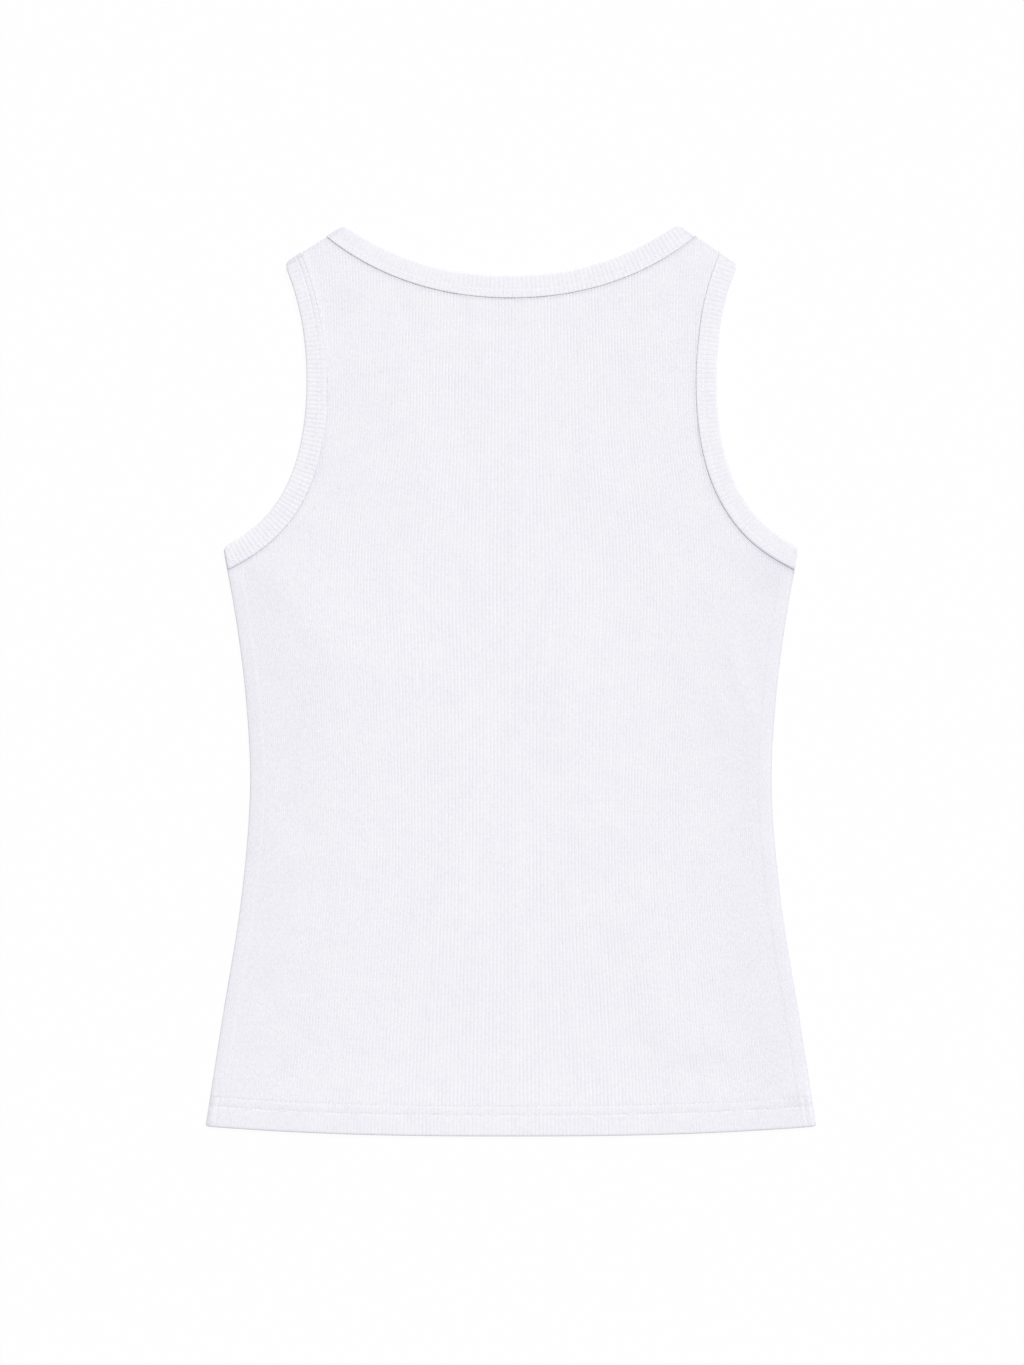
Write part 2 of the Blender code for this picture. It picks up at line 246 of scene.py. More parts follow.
SHOULDER = SHOULDER_TIP - NECK_POINT
SHOULDER_LENGTH = np.linalg.norm(SHOULDER)
SHOULDER_OUT = np.array((-SHOULDER[1], SHOULDER[0])) / SHOULDER_LENGTH
NECK_SEAM_END = NECK_POINT + NECK_SEAM_IN * SHOULDER / SHOULDER_LENGTH
ARM_SEAM_END = NECK_POINT + (SHOULDER_LENGTH - ARM_SEAM_IN) * SHOULDER / SHOULDER_LENGTH
SHOULDER_LINE = np.array((NECK_POINT, NECK_SEAM_END, ARM_SEAM_END, SHOULDER_TIP))
SHOULDER_LINE = SHOULDER_LINE + SHOULDER_FOLD * SHOULDER_OUT

BACK_NECK_FOLD = bezier((0, BACK_NECK), 0, 58.6, NECK_POINT, -149.2, 26.1)
BACK_NECK_SEAM = bezier((0, BACK_NECK - NECK_STRIP), 0, 30.8, NECK_SEAM_END, -141.2, 56.1)
FRONT_NECK_FOLD = bezier((0, FRONT_NECK), 0, 62.0, NECK_POINT, -112, 56.0)
FRONT_NECK_SEAM = bezier((0, FRONT_NECK - NECK_STRIP), 0, 70.0, NECK_SEAM_END, -110, 62.0)
ARM_FOLD = np.vstack((
    bezier((side_half(UNDERARM), UNDERARM), 133.8, 12.0, (NARROW_FOLD, NARROW), -90, 93.7),
    bezier((NARROW_FOLD, NARROW), 90, 46.9, SHOULDER_TIP, -102.8, 6.9)[1:],
))
SEAM_SIDE_Y = UNDERARM - ARM_STRIP
ARM_SEAM = np.vstack((
    bezier((side_half(SEAM_SIDE_Y), SEAM_SIDE_Y), 154.3, 51.1, (NARROW_SEAM, NARROW), -90, 69.6),
    bezier((NARROW_SEAM, NARROW), 90, 22.5, ARM_SEAM_END, -112.4, 33.3)[1:],
))


def nearest(points, curve):
    """For each point, the distance to a curve and how far along it the nearest place is."""
    marks = marks_along(curve)
    start, run = curve[:-1], np.diff(curve, axis=0)
    length = np.linalg.norm(run, axis=1)
    best, mark = np.zeros((2, len(points)))
    for low in range(0, len(points), NEAREST_BATCH):
        batch = slice(low, low + NEAREST_BATCH)
        gap = points[batch, None] - start
        t = np.clip((gap * run).sum(2) / length**2, 0, 1)
        far = np.linalg.norm(gap - t[..., None] * run, axis=2)
        i = far.argmin(axis=1)
        rows = np.arange(len(far))
        best[batch] = far[rows, i]
        mark[batch] = marks[i] + t[rows, i] * length[i]
    return best, mark


def softly(distance):
    """The distance where it is positive and nothing where it is negative, with a soft turn."""
    return (distance + np.sqrt(distance**2 + FOLD_ROUND**2)) / 2


def bumps(table, x, y):
    """How high a table's soft bumps stand together."""
    total = np.zeros(np.shape(x))
    for middle_x, middle_y, angle, length, width, height in table:
        cos, sin = math.cos(math.radians(angle)), math.sin(math.radians(angle))
        run = (x - middle_x) * cos + (y - middle_y) * sin
        across = (y - middle_y) * cos - (x - middle_x) * sin
        total = total + height * np.exp(-(run / length) ** 2 - (across / width) ** 2)
    return total


def creases(x, y):
    """How far the upper layer stands up from lying flat, fading out at the sides."""
    total = bumps(CREASES, x, y)
    drift = (np.sin(x / 17.0 + 1.3 * np.sin(y / 61.0)) * np.sin(y / 47.0 + 0.6)
             + 0.6 * np.sin(x / 9.1 + y / 83.0) * np.sin(y / 29.0 + 1.9))
    heights, *columns = np.array(UNDERARM_FOLD).T
    foot, ridge = (np.interp(y, heights, column) for column in columns)
    up = y - heights[0]
    rise = FOLD_SLOPE * (softly(x - foot) - softly(x - ridge)) * (up > 0) * (x < 0)
    total = total + rise * np.exp(-np.maximum(x - ridge, 0) / FOLD_FADE) * ease(up / FOLD_START)
    to_shoulder, _ = nearest(np.stack((np.abs(x), y), axis=-1).reshape(-1, 2), SHOULDER_LINE)
    sunk = SHOULDER_ROLL * np.exp(-to_shoulder.reshape(np.shape(x)) / SHOULDER_SOFT)
    total = total + DRIFT * (1.2 + drift) - sunk
    return total * ease((side_half(np.minimum(y, UNDERARM)) - np.abs(x)) / CREASE_FADE)


# ---- meshes ----

def as_laid(points):
    """Points in millimetres, moved to where the cloth came to lie."""
    x, y = points[:, 0], points[:, 1]
    to_shoulder, _ = nearest(points[:, :2], SHOULDER_LINE)
    moved = points.copy()
    moved[:, 0] += ARM_DRIFT * ramp(x, 90, 40) * ramp(y, UNDERARM, 30) * ramp(y, 255, -30)
    outward = SHOULDER_DRIFT * np.exp(-to_shoulder / 12) * ramp(x, 60, 35)
    moved[:, :2] += outward[:, None] * SHOULDER_OUT
    return moved


def add_object(name, data):
    obj = bpy.data.objects.new(name, data)
    bpy.context.scene.collection.objects.link(obj)
    return obj


def make_piece(name, vertices, faces, weave, material):
    """A finished piece from points in millimetres, riding on the garment's body."""
    mesh = bpy.data.meshes.new(name)
    mesh.from_pydata((as_laid(vertices) * 0.001).tolist(), [], faces)
    mesh.validate()
    mesh.polygons.foreach_set("use_smooth", [True] * len(mesh.polygons))
    attribute = mesh.attributes.new("weave", "FLOAT_VECTOR", "POINT")
    attribute.data.foreach_set("vector", np.asarray(weave, np.float32).ravel())
    mesh.materials.append(material)
    obj = add_object(name, mesh)
    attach(obj, "root")
    return obj


def grid_faces(index):
    """Quads between neighbouring rows and columns of a grid of point numbers."""
    corners = index[:-1, :-1], index[:-1, 1:], index[1:, 1:], index[1:, :-1]
    return np.stack(corners, axis=-1).reshape(-1, 4)


def facing_out(points, faces):
    """The quads of a closed shell, turned over if they face inwards."""
    a, b, c, d = (points[faces[:, k]] for k in range(4))
    volume = (a * np.cross(b, c) + a * np.cross(c, d)).sum()
    return faces if volume > 0 else faces[:, ::-1]


def edge_loop(faces):
    """The point numbers round the edge of a sheet of quads, in order."""
    edges = np.vstack([faces[:, (k, (k + 1) % 4)] for k in range(4)])
    _, first, count = np.unique(
        np.sort(edges, axis=1), axis=0, return_index=True, return_counts=True)
    following = dict(edges[first[count == 1]].tolist())
    loop = [next(iter(following))]
    while following[loop[-1]] != loop[0]:
        loop.append(following[loop[-1]])
    return np.array(loop)


def plain_sheet(edge):
    """Points and triangles of a plain flat sheet inside a closed edge, whose points come first."""
    low, high, half = edge.min(axis=0), edge.max(axis=0), SHEET_STEP / 2
    grid = np.mgrid[low[0] + half:high[0]:SHEET_STEP, low[1] + half:high[1]:SHEET_STEP]
    grid = grid.reshape(2, -1).T
    clear, _ = nearest(grid, np.vstack((edge, edge[:1])))
    points = np.vstack((edge, grid[clear > half]))
    found = delaunay_2d_cdt([Vector(p) for p in points], [], [range(len(edge))], 1, 1e-5)
    given = [numbers[0] for numbers in found[3]]
    return points, [[given[k] for k in face] for face in found[2]]


# ---- panels ----

PanelCut = namedtuple("PanelCut", "neck_seam part_low within_rib")
BACK_CUT = PanelCut(BACK_NECK_SEAM, 0.0, (0.0, 0.2, 0.5, 0.8))
FRONT_CUT = PanelCut(FRONT_NECK_SEAM, 80.0, (0.0, 0.35, 0.65))


def rib_x(rib, y):
    """Where a rib crosses a height: fanned from the middle, leaning a little in the straps."""
    reach, crowding = smooth(FAN, y - HEM_CORNER)

    def fanned(number):
        t = number / RIBS
        wander = RIB_WANDER * 16 * (t * (1 - t)) ** 2 * ramp(y, 130.0, -60.0)
        wander = wander * (np.sin(y / 53.0 + 4 * t) + 0.6 * np.sin(y / 27.0 - 9 * t))
        crowded = np.tanh(crowding * t) / np.tanh(crowding)
        return wander + (reach + (side_half(y) - reach) * t**8) * crowded

    room = np.interp(y, ARM_SEAM[:, 1], ARM_SEAM[:, 0]) - fanned(NARROW_RIB)
    lean = STRAP_LEAN * room * (y > NARROW)
    return fanned(rib) + lean * np.minimum(rib / NARROW_RIB, 1) ** 4


def first_crossing(rib, limit, low, high):
    """The lowest height at which limit(x, y) turns positive along a rib."""
    y = np.linspace(low, high, CROSSING_STEPS)
    over = limit(rib_x(rib, y), y)
    i = int(np.argmax(over > 0))
    if i == 0:
        return low if over[0] > 0 else high
    return y[i - 1] + (y[i] - y[i - 1]) * over[i - 1] / (over[i - 1] - over[i])


def rows_between(low, high, count):
    """Evenly spaced rows between two, without them."""
    share = (np.arange(count) + 1)[:, None] / (count + 1)
    return low + (high - low) * share


def squeezed(distances, room):
    """A column of distances, drawn together where they would fill more than 0.4 of the room."""
    column = np.array(distances)[:, None]
    return np.minimum(column, 0.4 * room * (column / max(distances)))


def panel_grid(cut):
    """Points and quads of a flat panel's right half, with each point's rib number.

    The lower part has a column of points for each place on a rib, up to the armhole. The upper
    part goes on to the neck and the shoulder, and its outer ribs start on the armhole, where
    the strap widens again.
    """
    ribs = np.unique(np.round(
        [rib + part for rib in range(RIBS) for part in cut.within_rib]
        + [NARROW_RIB + part for part in (0.0, 0.03, 0.07, 0.12)]
        + [RIBS - 0.1, RIBS - 0.03, RIBS], 4))
    seam_y, seam_x = ARM_SEAM[:, 1], ARM_SEAM[:, 0] - SEAM_GAP
    top = np.vstack((shifted(cut.neck_seam, -SEAM_GAP), SHOULDER_LINE[2:3])).T

    def past_armhole(x, y):
        return x - np.interp(y, seam_y, seam_x)

    def inside_armhole(x, y):
        return -past_armhole(x, y)

    def past_top(x, y):
        return y - np.interp(x, *top)

    # lower part
    low_top = np.array([
        NARROW - cut.part_low * (1 - (r / NARROW_RIB) ** 2) if r <= NARROW_RIB
        else first_crossing(r, past_armhole, SEAM_SIDE_Y, NARROW) for r in ribs])
    low_top[-1] = SEAM_SIDE_Y
    foot = hem_arc(rib_x(ribs, np.full(len(ribs), HEM_CORNER)))
    spread = 1 + ROW_SPREAD * ease(1 - (ribs - NARROW_RIB) / 18.0)
    hem = foot[None] + np.array(HEM_ROWS)[:, None]
    seam = low_top[None] - np.array(SEAM_ROWS)[:, None] * spread
    low_y = np.vstack((
        hem, rows_between(hem[-1], LEVEL_Y, LOW_BODY_ROWS), np.full((1, len(ribs)), LEVEL_Y),
        rows_between(LEVEL_Y, seam[0], HIGH_BODY_ROWS), seam))

    # upper part
    tip_x = rib_x(ribs, np.full(len(ribs), ARM_SEAM_END[1]))
    upper = ribs[tip_x < ARM_SEAM_END[0] - SEAM_GAP - 0.1]
    start = np.array([
        low if r <= NARROW_RIB else first_crossing(r, inside_armhole, NARROW, ARM_SEAM_END[1])
        for r, low in zip(upper, low_top)])
    tips = np.array([first_crossing(r, past_top, low, TOP) for r, low in zip(upper, start)])
    after = start + squeezed(START_ROWS, tips - start)
    seam = tips - squeezed(SEAM_ROWS, tips - start)
    high_y = np.vstack((start, after, rows_between(after[-1], seam[0], STRAP_ROWS), seam))

    rows = []
    for y, numbers in ((low_y, ribs), (high_y, upper)):
        numbers = np.broadcast_to(numbers, y.shape)
        x = rib_x(numbers, y)
        x = np.where(y > SEAM_SIDE_Y, np.minimum(x, np.interp(y, seam_y, seam_x)), x)
        rows.append(np.stack((x, y, numbers), axis=-1).reshape(-1, 3))
    low_index = np.arange(low_y.size).reshape(low_y.shape)
    high_index = low_y.size + np.arange(high_y.size).reshape(high_y.shape)
    shared = upper <= NARROW_RIB
    high_index[0, shared] = low_index[-1, :shared.sum()]
    faces = np.vstack((grid_faces(low_index), grid_faces(high_index)))
    used, faces = np.unique(faces, return_inverse=True)
    points = np.vstack(rows)[used]
    return points[:, :2], faces.reshape(-1, 4), points[:, 2]


def both_halves(points, faces, rib):
    """A whole panel from its right half; the two halves share the points of rib 0."""
    outer = rib > 0
    twin = np.arange(len(points))
    twin[outer] = len(points) + np.arange(outer.sum())
    return (np.vstack((points, points[outer] * (-1, 1))),
            np.vstack((faces, twin[faces][:, ::-1])),
            np.concatenate((rib, -rib[outer])))


def rolled(distance, radius):
    """How far a rounded edge drops at a distance from it."""
    t = 1 - np.clip(distance / radius, 0, 1)
    return radius * (1 - np.sqrt(np.maximum(1 - t * t, 0)))


FIELD_WIDE, FIELD_HIGH = 500, 700  # what the random tables cover
FIELD_LEFT, FIELD_LOW = -240.0, -340.0


def random_table(seed, rows, columns):
    return np.random.default_rng(seed).uniform(-1, 1, (rows, columns))


def patchy(rib, y, step, seed):
    """Random values from -1 to 1 that run smoothly up each groove, a new one every step."""
    table = random_table(seed, 2 * RIBS + 1, int(FIELD_HIGH / step) + 2)
    number = np.rint(rib).astype(int) + RIBS
    at = np.maximum(y - HEM_CORNER + HEM_SAG, 0.0) / step
    i = at.astype(int)
    t = ease(at - i)
    return table[number, i] * (1 - t) + table[number, i + 1] * t


def blotchy(x, y, size, seed):
    """Random values from -1 to 1 that change smoothly both ways, a new one every size."""
    table = random_table(seed, int(FIELD_WIDE / size) + 3, int(FIELD_HIGH / size) + 3)
    across, up = (x - FIELD_LEFT) / size, (y - FIELD_LOW) / size
    i, j = across.astype(int), up.astype(int)
    s, t = ease(across - i), ease(up - j)
    low, high = (table[i, k] * (1 - s) + table[i + 1, k] * s for k in (j, j + 1))
    return low * (1 - t) + high * t


PANEL_CLOTH = 1.4
HEM_CLOTH, HEM_INSIDE = 0.2, 0.25  # what the hem's second layer adds above and below
HEM_LOW_ROW, HEM_HIGH_ROW = 14.0, 20.0  # its stitch rows, from the edge
HEM_CHANNEL, HEM_BELLY = 17.2, 9.0  # where it puffs between and below them
ALLOWANCE = 10.5  # the side seam's, from the side
ROW_END = 1.6  # where the rows stop, from the side
TACK, TACK_TOP = 6.2, 22.0  # the seam's catch in the hem: from the side, height


def hem_marks(x, above_hem, to_side):
    """Where the hem's two stitch rows and needle holes are, and how the cloth puffs by them."""
    inland = to_side > 1.5
    wave = 0.16 * np.sin(np.abs(x) / 1.9) + 0.14 * np.sin(np.abs(x) / 3.7 + 1.0)
    low_row = bell(above_hem - HEM_LOW_ROW - wave, 0.40) * inland * (0.75 + wave)
    high_row = bell(above_hem - HEM_HIGH_ROW, 0.5) * inland
    needle = peaks(np.abs(x) / STITCH_PITCH, 3) * (0.55 + 0.45 * blotchy(x, 0 * x, 11.0, 8))
    puff = 0.5 * bell(above_hem - HEM_CHANNEL, 1.9) + 0.5 * bell(above_hem - HEM_BELLY, 4.5)
    return low_row, high_row, needle, puff


def panel_heights(points, rib, cut, rib_depth):
    """The outer face above the inner one, the inner one's lift, and how shaded a point is."""
    left = points[:, 0] < 0
    x, y = np.abs(points[:, 0]), points[:, 1]
    above_hem = y - hem_arc(x)
    to_side = np.where(y < SEAM_SIDE_Y + 4, side_half(np.minimum(y, SEAM_SIDE_Y)) - x, 99.0)
    here = np.stack((x, y), axis=1)
    to_arm, arm_mark = nearest(here, ARM_SEAM)
    to_neck, _ = nearest(here, cut.neck_seam)
    to_shoulder, _ = nearest(here, SHOULDER_LINE[1:3])
    to_seam = np.minimum(to_arm, to_neck)

    # the armhole's seam lies flatter towards the shoulder, and the shadow painted along it fades
    # towards the shoulder and is darkest in its lower corner
    on_arm = to_arm < to_neck
    arm_share = arm_mark / marks_along(ARM_SEAM)[-1]
    late = ramp(arm_share, 0.45, 0.4) * on_arm
    sharp = np.maximum(1 - 0.8 * late - 0.35 * left * on_arm
                       - 0.6 * on_arm * ~left * ramp(arm_share, 0.8, 0.15), 0.03)
    core = np.where(on_arm & ~left, 0.25, 0.6)
    corner = ramp(arm_share, 0.15, -0.12) * on_arm

    # the hem is doubled, and the side seam's allowance lies under the edge that it rolls over
    doubled = ramp(above_hem, 46.0, -28.0)
    low_row, high_row, needle, puff = hem_marks(points[:, 0], above_hem, to_side)
    by_side = ramp(y, SEAM_SIDE_Y + 4, -12.0)
    allowance = ramp(to_side, ALLOWANCE, -2.6) * by_side
    roll = (0.22 * np.exp(-to_side / 1.8) + 0.30 * np.exp(-to_side / 6.0)) * by_side
    caught = ramp(above_hem, 23.5, -2.5) * ramp(above_hem, 0.0, 3.0)

    # ribs
    pressed = ((1 - 0.6 * np.maximum(low_row, high_row)) * (1 - 0.35 * (above_hem < HEM_HIGH_ROW))
               * (1 + 1.2 * bell(to_seam - 0.8, 1.0)) * (1 - 0.5 * allowance))
    contrast = np.maximum(0.3, 1 - 1.15 * (rib / RIBS) ** 2)
    groove = peaks(rib, 1.4)
    uneven = np.maximum(1 + 0.35 * patchy(rib, y, 13.0, 3)
                        + 0.75 * blotchy(points[:, 0], y, 8.0, 5), 0.0)

    drop = np.maximum.reduce((
        rolled(to_side, 0.85), rolled(to_seam, 0.25) * (1 - 0.9 * late),
        rolled(to_shoulder, 1.1), rolled(above_hem, 1.2)))
    outer = (
        PANEL_CLOTH + HEM_CLOTH * doubled - rib_depth * groove * pressed * uneven * contrast
        - 0.24 * low_row - 0.12 * high_row - 0.2 * needle * high_row + 0.13 * puff
        + np.where(left & on_arm, 0.25 * late, 0.2 - 0.1 * late) * bell(to_seam, 2.2)
        + 0.17 * allowance - roll - drop)
    outer = outer + caught * (
        0.18 * bell(to_side - 3.0, 1.5) - 0.14 * bell(to_side - TACK, 0.6))
    closed = ease(1 - to_side / 3.0)
    inner = HEM_INSIDE * doubled * (1 - closed) - 0.14 * closed

    patch = ramp(above_hem, 22.0, -1.2) * ramp(above_hem, 13.4, 1.2)
    hem_end = ramp(above_hem, 13.0, -2.0) * ramp(to_side, 4.5, -1.0)
    # Painted shade: shadows along the seams, darkest in the armhole's lower corner; shade in the
    # hem's stitch rows and needle holes, in a band between the rows and along the hem's rolled
    # edge; dark rims along the right side and the shoulders; the shade spots; and darker places
    # over the side seam's allowance and at the hem's ends.
    shade = (
        sharp * (core * (0.3 + 0.5 * groove) * bell(to_seam, 0.7 + 0.5 * groove)
                 + 0.28 * bell(to_seam - 1.0, 1.2) + 0.35 * corner * bell(to_seam, 2.2))
        + 0.12 * low_row + 0.10 * high_row + 0.4 * needle * high_row
        + 0.03 * patch + 0.05 * bell(above_hem - 15.5, 1.5)
        + 0.18 * bell(above_hem, 0.5) + 0.2 * bell(above_hem, 1.8)
        + np.where(left, 0.0, 0.65) * bell(to_side, 1.0)
        + np.where(left, 0.4, 0.25) * bell(to_shoulder, 1.2) + bumps(SHADE_SPOTS, *points.T)
        + 0.12 * patch * ramp(to_side, 5.5, -0.8) + 0.08 * hem_end)
    return np.maximum(outer, 0.22), inner, np.clip(shade, 0, 1)


def make_panel(name, cut, rib_depth, upward, material):
    """A shell: the ribbed face outside, a plain one inside, and a rim that joins their edges."""
    points, faces, rib = both_halves(*panel_grid(cut))
    loop = edge_loop(faces)
    inside, inner_faces = plain_sheet(points[loop])
    outer, edge_lift, shade = panel_heights(points, rib, cut, rib_depth)
    _, lift, _ = panel_heights(inside, np.zeros(len(inside)), cut, 0.0)
    if upward:
        top = FOLD_LEVEL + SKIN + edge_lift + outer + creases(*points.T)
        bottom = FOLD_LEVEL + SKIN + lift + 0.6 * np.maximum(creases(*inside.T), 0.0)
    else:
        top = np.maximum(FOLD_LEVEL - SKIN + edge_lift - outer - 0.1, 0.0)
        bottom = FOLD_LEVEL - SKIN + lift
        bottom[:len(loop)] = np.maximum(bottom[:len(loop)], top[loop] + 0.3)
    vertices = np.vstack((np.column_stack((points, top)), np.column_stack((inside, bottom))))
    copy = len(points) + np.arange(len(loop))
    rim = np.stack((np.roll(loop, -1), loop, copy, np.roll(copy, -1)), axis=1)
    within = [[len(points) + k for k in face[::-1]] for face in inner_faces]
    all_faces = np.vstack((faces, rim)).tolist() + within
    if not upward:
        all_faces = [face[::-1] for face in all_faces]
    weave = np.column_stack((rib, points[:, 1] / COURSE, shade))
    weave = np.vstack((weave, weave[loop], np.zeros((len(inside) - len(loop), 3))))
    return make_piece(name, vertices, all_faces, weave, material)


# ---- bindings ----

# Across a folded strip, from its sewn edge along the inside, round the fold and back: how far
# past the fold, the outer stitch row or the seam each point lies, towards the seam, how high it
# is as a share of the cloth, and how much of a rib it has.
STRIP_PROFILE = [(base, *row) for base, rows in (
    ("seam", ((-0.15, 0.10, 0.0), (-0.7, 0.0, 0.0), (-4.0, 0.0, 0.0))),
    ("fold", (
        (4.0, 0.0, 0.0), (0.9, 0.0, 0.0), (0.38, 0.07, 0.0), (0.10, 0.24, 0.0),
        (0.0, 0.46, 0.0), (0.12, 0.65, 0.0), (0.42, 0.81, 0.1), (0.95, 0.88, 0.5),
        (1.7, 0.91, 1.0), (3.0, 0.93, 1.0), (4.6, 0.95, 1.0))),
    ("row", (
        (-3.0, 0.957, 1.0), (-2.3, 0.962, 1.0), (-1.7, 0.968, 1.0), (-1.1, 0.975, 0.9),
        (-0.6, 0.98, 0.7), (-0.25, 0.98, 0.6), (0.0, 0.985, 0.6), (0.25, 0.985, 0.6),
        (0.6, 0.985, 0.7), (1.2, 0.99, 0.8))),
    ("seam", (
        (-2.9, 1.0, 0.8), (-2.3, 1.0, 0.7), (-1.9, 1.0, 0.6), (-1.4, 1.0, 0.6),
        (-0.9, 1.0, 0.6), (-0.5, 0.985, 0.5), (-0.25, 0.95, 0.4), (-0.1, 0.86, 0.3),
        (-0.02, 0.70, 0.2), (0.0, 0.32, 0.1))),
) for row in rows]
INNER_ROW = 1.9  # stitch rows, counted from the seam
DIP = 0.03  # how far a stitch row is drawn in
ROW_SHADE = 0.10  # the shaded channel beyond the outer stitch row
ROW_WIDTHS = (1.0, 1.3)  # how broad the inner and the outer row's stitches are
CORNER_ROUND = 0.9  # how far the folded edge draws in at its ends
STRIP_RIB = 3.05  # one rib along a strip
UPPER_STEP, LOWER_STEP = 0.42, 1.75  # between sections on the upper and the lower half
FOLD_SECTIONS = 11
EVEN_STRIP = 1e6  # so many ribs before a strip's lose their evenness

# The outer row's distance from the seam in the middle and at the ends, its depth at the far end,
# the ribs' depth at both, the shades of the fold's edge, of the seam and of its first corner,
# how far the folded ends stand out, and their shade.
StripCut = namedtuple(
    "StripCut", "fold seam row_middle row_ends dip_end ribs ribs_end outline shadow corner "
    "reaches over")
NECK_BACK = StripCut(
    both_sides(BACK_NECK_FOLD), both_sides(BACK_NECK_SEAM), row_middle=5.1, row_ends=4.2,
    dip_end=DIP, ribs=0.8, ribs_end=0.9, outline=0.20, shadow=0.0, corner=0.0,
    reaches=(1.9, 1.9), over=0.4)
NECK_FRONT = NECK_BACK._replace(
    fold=both_sides(FRONT_NECK_FOLD), seam=both_sides(FRONT_NECK_SEAM), ribs=1.0, ribs_end=1.0)
ARMHOLE_LEFT = StripCut(
    ARM_FOLD, ARM_SEAM, row_middle=5.0, row_ends=4.7, dip_end=0.26, ribs=1.0, ribs_end=0.35,
    outline=0.0, shadow=0.1, corner=0.5, reaches=(FOLD_REACH, 2.5), over=0.45)
ARMHOLE_RIGHT = ARMHOLE_LEFT._replace(
    dip_end=DIP, ribs=0.6, ribs_end=0.65, outline=0.30, shadow=0.80, corner=0.25, over=0.2)
ARMHOLES = (("left", ARMHOLE_LEFT, True), ("right", ARMHOLE_RIGHT, False))


def strip_halves(cut, step):
    """A fold and a seam curve, resampled to the same number of sections."""
    count = int(round(marks_along(cut.seam)[-1] / step))
    shares = np.linspace(0, 1, count + 1)
    fold, seam = (along(curve, shares, FOLD_REACH) for curve in (cut.fold, cut.seam))
    to_end = np.minimum(shares, 1 - shares) * marks_along(cut.fold)[-1]
    drawn_in = CORNER_ROUND * ease(1 - to_end / 2.6) ** 2
    return fold + unit(seam - fold) * drawn_in[:, None], seam, shares


def row_of(cut, share):
    """The outer stitch row's place and depth, the ribs' depth, and the shadow beside the seam."""
    late = ramp(share, 0.55, 0.4)
    return (cut.row_middle + (cut.row_ends - cut.row_middle) * np.abs(2 * share - 1) ** 1.5,
            DIP + (cut.dip_end - DIP) * late, cut.ribs + (cut.ribs_end - cut.ribs) * late,
            cut.shadow * ramp(share, 0.62, -0.45) + cut.corner * ramp(share, 0.15, -0.12))


def middle_of(fold, seam):
    """The line down the middle of a strip, lengthened at both ends."""
    middle = (fold + seam) / 2
    first, last = unit(middle[0] - middle[3]), unit(middle[-1] - middle[-4])
    return np.vstack((middle[0] + 15 * first, middle, middle[-1] + 15 * last))


def strip_points(fold, seam, row_look, out, angle, cloth, middle, outline=0.0, over=0.0,
                 reach=0.0):
    """Points, weave and shade of every section of one stretch of a strip."""
    width = np.linalg.norm(seam - fold, axis=1)
    row, dip, ribs, shadow, angle, cloth, over = (
        np.broadcast_to(value, len(fold))[:, None] for value in (*row_look, angle, cloth, over))
    bases = {"fold": 0 * width, "row": width - row[:, 0], "seam": width}
    w = np.stack([bases[base] + distance for base, distance, _, _ in STRIP_PROFILE], axis=1)
    share, ribbed = np.array([point[2:] for point in STRIP_PROFILE]).T
    flat = fold[:, None] + unit(seam - fold)[:, None] * w[..., None]
    _, mark = nearest(flat.reshape(-1, 2), middle)
    phase = (mark / STRIP_RIB).reshape(w.shape)

    fading = np.cos(angle) ** 2
    from_seam = width[:, None] - w
    rows = (share > 0.9) * fading * bell(from_seam - row, 0.45)
    drawn = dip - DIP
    by_seam = (share > 0.2) * fading * bell(from_seam - 0.3 - 4.3 * drawn, 0.5)
    depth = (STRIP_RIB_DEPTH * ribbed * peaks(phase, 1.8) * fading * ribs
             + dip * rows + 0.7 * drawn * by_seam)
    r = SKIN + np.maximum(cloth * share - depth, 0.0)
    bulge = reach * np.sin(angle) / (SKIN + cloth) * r
    bulge = bulge * (1 - 0.6 * np.exp(-np.maximum(w, 0) / 1.5))
    points = np.dstack((flat + out * bulge[..., None], FOLD_LEVEL + r * np.cos(angle)))

    steps = np.hypot(np.diff(w, axis=1), np.diff(r, axis=1))
    across = np.concatenate((np.zeros((len(w), 1)), np.cumsum(steps, axis=1)), axis=1)
    # Painted shade: a line along the seam, a rim by the fold's edge, the shadow beside the seam,
    # the folded ends, the channel beyond the outer stitch row, and the drawn-in stitch rows.
    channel = (ROW_SHADE * bell(from_seam - row - 1.7, 0.75)
               + 0.05 * bell(from_seam - 3.0, 1.2))
    shade = (share > 0.2) * (
        0.1 * bell(from_seam, 0.12) + outline * ramp(w, 1.1, -0.9)
        + shadow * bell(from_seam - 0.7, 0.7) + over + fading * channel
        + 1.5 * drawn * rows + 3.4 * drawn * by_seam)
    return points, np.stack((phase, across / COURSE, np.clip(shade, 0, 1)), axis=-1)


